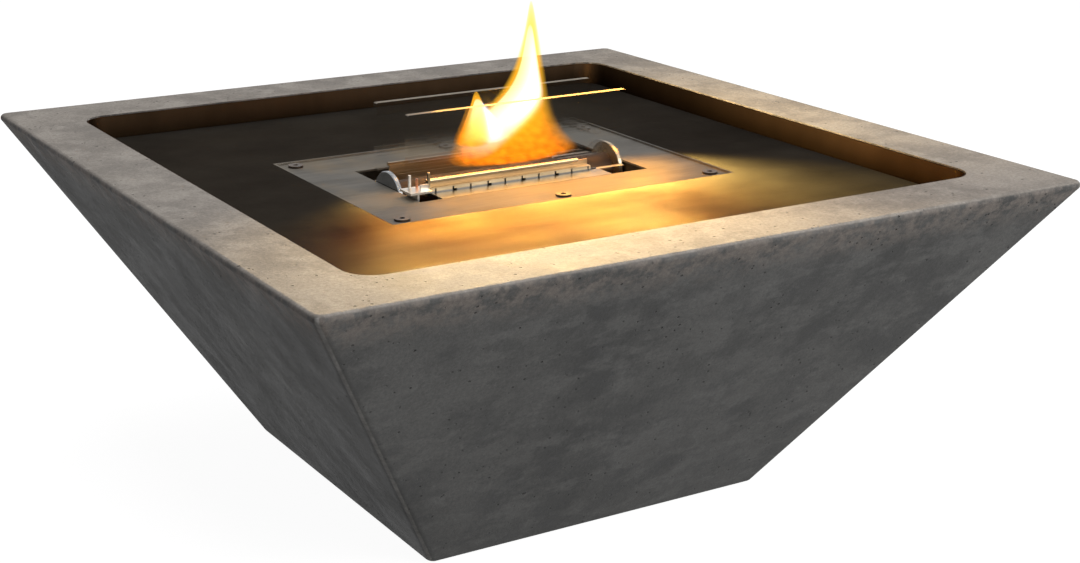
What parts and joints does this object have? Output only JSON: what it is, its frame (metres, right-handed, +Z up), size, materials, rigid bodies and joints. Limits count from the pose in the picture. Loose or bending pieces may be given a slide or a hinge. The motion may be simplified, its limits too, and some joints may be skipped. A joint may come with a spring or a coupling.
{
  "type": "tabletop gas fire pit",
  "caption": "Square tapered stone-look fire bowl with a sunken dark panel, a steel bar burner in a tray, and clear wind panes either side of the flame.",
  "frame": {"origin": "centre of the footprint at table level, under the rubber feet", "axes": "+Z up, +X along the long side of the burner, -Y towards the front face; the controls are on the +Y face"},
  "size_m": [0.5982, 0.5982, 0.293],
  "materials": {
    "cast_stone": "matte",
    "galvanised": "satin",
    "stainless": "satin",
    "tray_steel": "satin",
    "sooty_steel": "matte",
    "burner_steel": "satin",
    "bronzed_steel": "satin",
    "dark_panel": "satin",
    "black_steel": "satin",
    "rubber": "matte",
    "brass": "satin",
    "copper": "satin",
    "clear_glass": "gloss",
    "ceramic_white": "satin",
    "black_plastic": "matte",
    "red_button": "gloss"
  },
  "bodies": {
    "fire_pit": {"bowl": "cast_stone", "base_cover": "galvanised", "cover_screws": "stainless", "foot_1": "rubber", "foot_2": "rubber", "foot_3": "rubber", "foot_4": "rubber", "liner_frame": "dark_panel", "fire_panel": "dark_panel", "burner_tray": "tray_steel", "burner_frame": "galvanised", "tray_screws": "stainless", "tray_nuts": "stainless", "burner_trough": "sooty_steel", "burner_tube": "burner_steel", "burner_cap_left": "stainless", "burner_cap_right": "stainless", "saddle_left": "galvanised", "saddle_right": "galvanised", "mixer_tube": "galvanised", "gas_injector": "brass", "supply_pipe": "copper", "glass_channel_front": "stainless", "glass_channel_back": "stainless", "front_bar": "stainless", "back_bar": "bronzed_steel", "comb_strip": "stainless", "ignition_bracket": "stainless", "spark_electrode": "ceramic_white", "pilot_hood": "stainless", "flame_sensor": "copper", "bar_clip": "stainless", "control_plate": "black_steel", "plate_screws": "stainless", "valve_body": "brass", "igniter_body": "black_plastic", "igniter_nut": "black_plastic", "inlet_fitting": "brass"},
    "front_pane": {"glass_pane_front": "clear_glass"},
    "back_pane": {"glass_pane_back": "clear_glass"},
    "knob_plunger": {"valve_plunger": "brass"},
    "knob": {"valve_spindle": "stainless", "control_knob": "black_plastic", "knob_grub_screw": "stainless"},
    "button": {"igniter_button": "red_button"}
  },
  "joints": [
    {"name": "front_pane_lift", "type": "slide", "parent": "fire_pit", "child": "front_pane", "axis": [0, 0, 1], "range_m": [0, 0.06]},
    {"name": "back_pane_lift", "type": "slide", "parent": "fire_pit", "child": "back_pane", "axis": [0, 0, 1], "range_m": [0, 0.06]},
    {"name": "knob_push", "type": "slide", "parent": "fire_pit", "child": "knob_plunger", "axis": [0, -0.8452, 0.5345], "range_m": [0, 0.003], "stiffness_N_per_m": 1000, "springref_m": -0.004},
    {"name": "knob_turn", "type": "hinge", "parent": "knob_plunger", "child": "knob", "pos_m": [0, 0.21612, 0.12], "axis": [0, 0.8452, -0.5345], "range_deg": [0, 180]},
    {"name": "igniter_push", "type": "slide", "parent": "fire_pit", "child": "button", "axis": [0, -0.8452, 0.5345], "range_m": [0, 0.004], "stiffness_N_per_m": 1200, "springref_m": -0.004}
  ]
}
